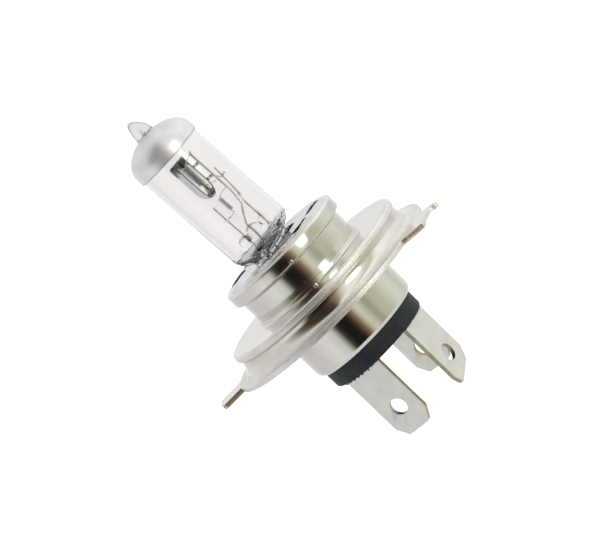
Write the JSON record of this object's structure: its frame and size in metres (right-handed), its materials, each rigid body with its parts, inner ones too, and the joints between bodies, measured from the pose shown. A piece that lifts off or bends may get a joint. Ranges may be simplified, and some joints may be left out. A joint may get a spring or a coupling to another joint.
{
  "type": "headlight bulb",
  "caption": "Halogen headlight bulb: glass capsule with silvered nose, beam shield and filaments, on a steel base with a lugged flange ring and flat blade terminals.",
  "frame": {"origin": "where the lamp's axis meets the reference plane, the front faces of the lugs", "axes": "+Z along the lamp's axis to the glass tip, +Y to the reference lug and the low-beam terminal, +X to the high-beam terminal"},
  "size_m": [0.0438, 0.0498, 0.0712],
  "materials": {
    "clear_glass": "clear, polished, faint warm tint",
    "silver_coating": "pearly silver, satin",
    "tungsten": "dark drawn wire",
    "shield_metal": "polished sheet, darkened inside",
    "lead_wire": "dull grey drawn wire",
    "seal_foil": "thin foil, matt",
    "nickel_plate": "bright nickel plate",
    "clip_steel": "spring steel",
    "weld_metal": "small bright beads",
    "insulator_moulding": "blue-black moulding, matt",
    "blade_plate": "satin nickel on brass"
  },
  "bodies": {
    "root": {"glass_envelope": "clear_glass", "front_coating": "silver_coating", "low_beam_filament": "tungsten", "high_beam_filament": "tungsten", "beam_shield": "shield_metal", "low_beam_lead": "lead_wire", "high_beam_lead": "lead_wire", "common_lead": "lead_wire", "support_bead": "clear_glass", "filament_crimps": "lead_wire", "low_beam_foil": "seal_foil", "high_beam_foil": "seal_foil", "common_foil": "seal_foil", "low_beam_tail": "lead_wire", "high_beam_tail": "lead_wire", "common_tail": "lead_wire", "pinch_clip": "clip_steel", "clip_plate": "clip_steel", "front_collar": "nickel_plate", "flange_ring": "nickel_plate", "weld_nubs": "weld_metal", "base_shell": "nickel_plate", "insulator": "insulator_moulding", "low_beam_terminal": "blade_plate", "high_beam_terminal": "blade_plate", "earth_terminal": "blade_plate"}
  },
  "joints": []
}
